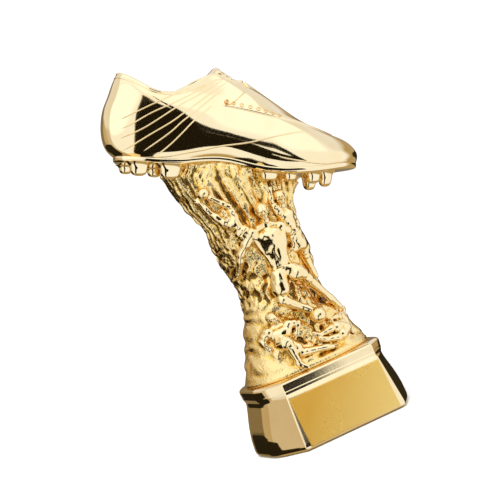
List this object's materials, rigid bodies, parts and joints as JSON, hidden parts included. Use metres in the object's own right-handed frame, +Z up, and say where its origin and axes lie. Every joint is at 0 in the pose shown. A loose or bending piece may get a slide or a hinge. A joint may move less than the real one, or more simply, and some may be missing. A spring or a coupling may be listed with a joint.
{
  "type": "figure trophy",
  "caption": "Gold football trophy: an eight-sided plinth with a blank nameplate, a rock column with players in relief, and a hollow football boot standing toe-down on top.",
  "frame": {"origin": "middle of the flat underside that rests on the table", "axes": "+Z up through the plinth, front with the nameplate faces -Y, boot toe points to +X"},
  "size_m": [0.169, 0.0867, 0.2797],
  "materials": {
    "plated_gold": "mirror-polished gold plating over cast resin; soft and grainy on the relief",
    "satin_gold": "fine grained satin",
    "foam_tape": "white double-sided tape",
    "plain_steel": "sawn and brushed",
    "zinc_steel": "bright zinc",
    "black_plastic": "moulded",
    "green_felt": "felt",
    "insert_brass": "turned",
    "fibreboard": "plain board, gilt sprayed"
  },
  "bodies": {
    "root": {"plinth_shell": "plated_gold", "nameplate": "satin_gold", "nameplate_tape": "foam_tape", "ballast_block": "plain_steel", "base_cover": "black_plastic", "cover_screws": "zinc_steel", "felt_pad": "green_felt", "column_bolt": "zinc_steel", "bolt_washer": "zinc_steel", "column_insert": "insert_brass", "dowel_pins": "zinc_steel", "column_casting": "plated_gold", "striker": "plated_gold", "striker_ball": "plated_gold", "keeper": "plated_gold", "keeper_ball": "plated_gold", "challenger": "plated_gold", "kneeling_player": "plated_gold", "sliding_player": "plated_gold", "rear_runner": "plated_gold", "rear_jumper": "plated_gold", "rear_ball": "plated_gold", "boot_upper": "plated_gold", "outsole": "plated_gold", "tongue": "plated_gold", "lace_flap": "plated_gold", "flap_marks": "plated_gold", "insole_board": "fibreboard", "boot_screws": "zinc_steel", "boot_inserts": "insert_brass"}
  },
  "joints": []
}
